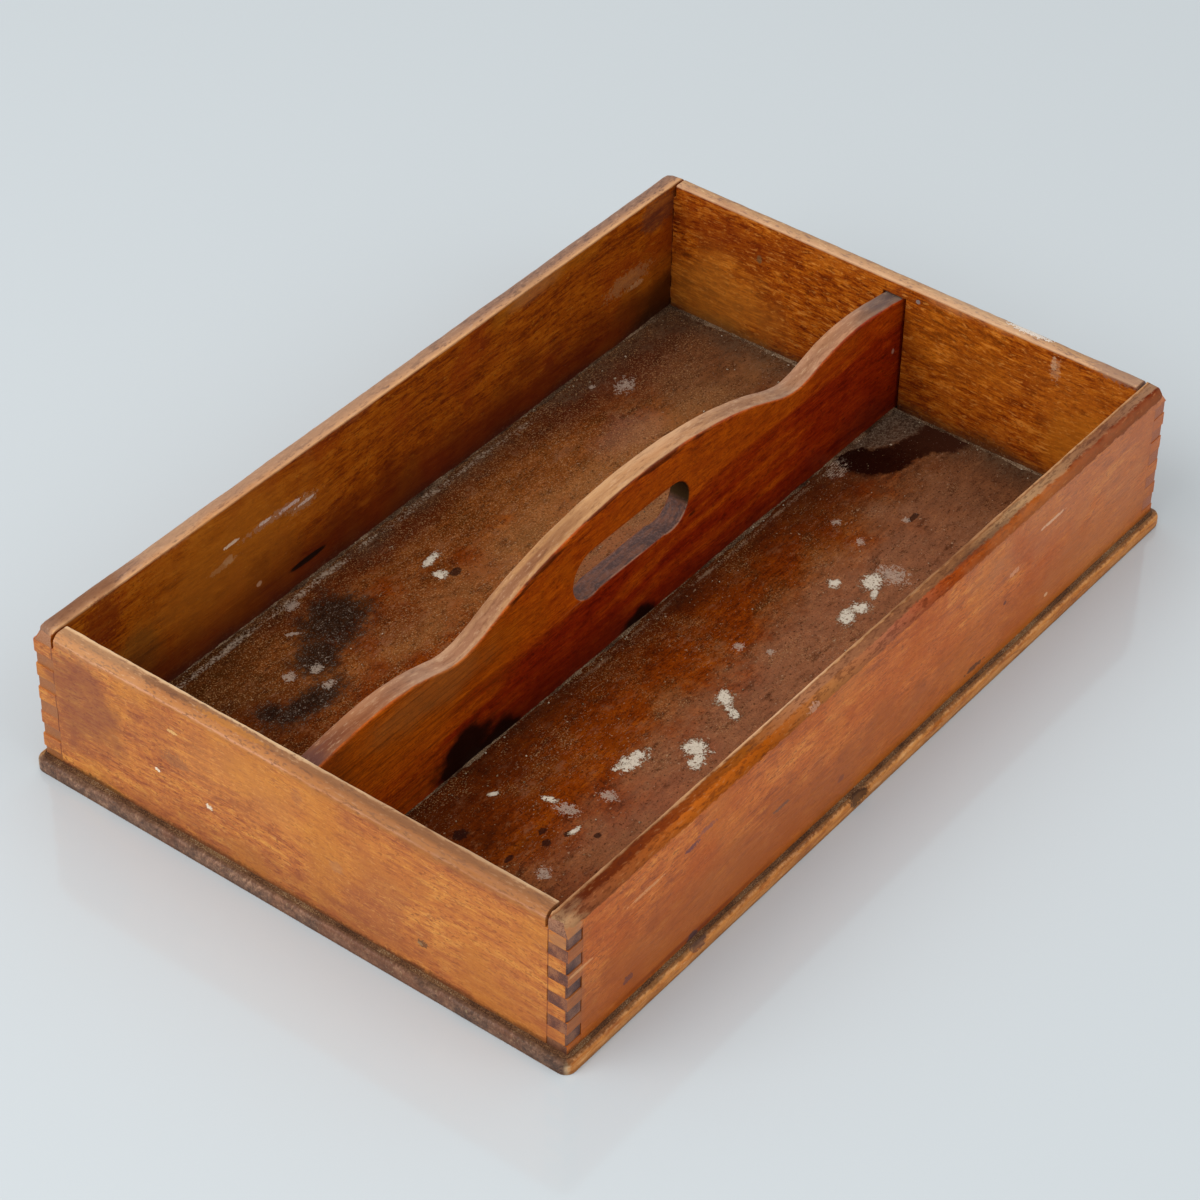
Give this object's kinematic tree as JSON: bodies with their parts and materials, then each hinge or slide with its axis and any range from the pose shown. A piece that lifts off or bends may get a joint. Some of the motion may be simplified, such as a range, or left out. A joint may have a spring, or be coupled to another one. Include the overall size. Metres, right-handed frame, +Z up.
{
  "type": "antique knife box",
  "caption": "Open wooden knife tray with finger-jointed walls, a thumb-moulded base board and a serpentine divider with a hand slot.",
  "frame": {"origin": "middle of the base board's underside, on the surface that the box stands on", "axes": "+Z up; +X along the box's length, towards the right end; +Y across, towards the back side"},
  "size_m": [0.389, 0.252, 0.0784],
  "materials": {
    "wall_wood": "aged varnished beech, orange brown, worn pale on the rim",
    "divider_wood": "aged varnished beech, deep red brown, worn pale on its top edge",
    "base_wood": "aged board, dark brown and stained, worn tan on its nosing",
    "nail_iron": "dull rusted iron"
  },
  "bodies": {
    "root": {"base_board": "base_wood", "back_side": "wall_wood", "front_side": "wall_wood", "left_end": "wall_wood", "right_end": "wall_wood", "divider": "divider_wood", "base_nails": "nail_iron"}
  },
  "joints": []
}
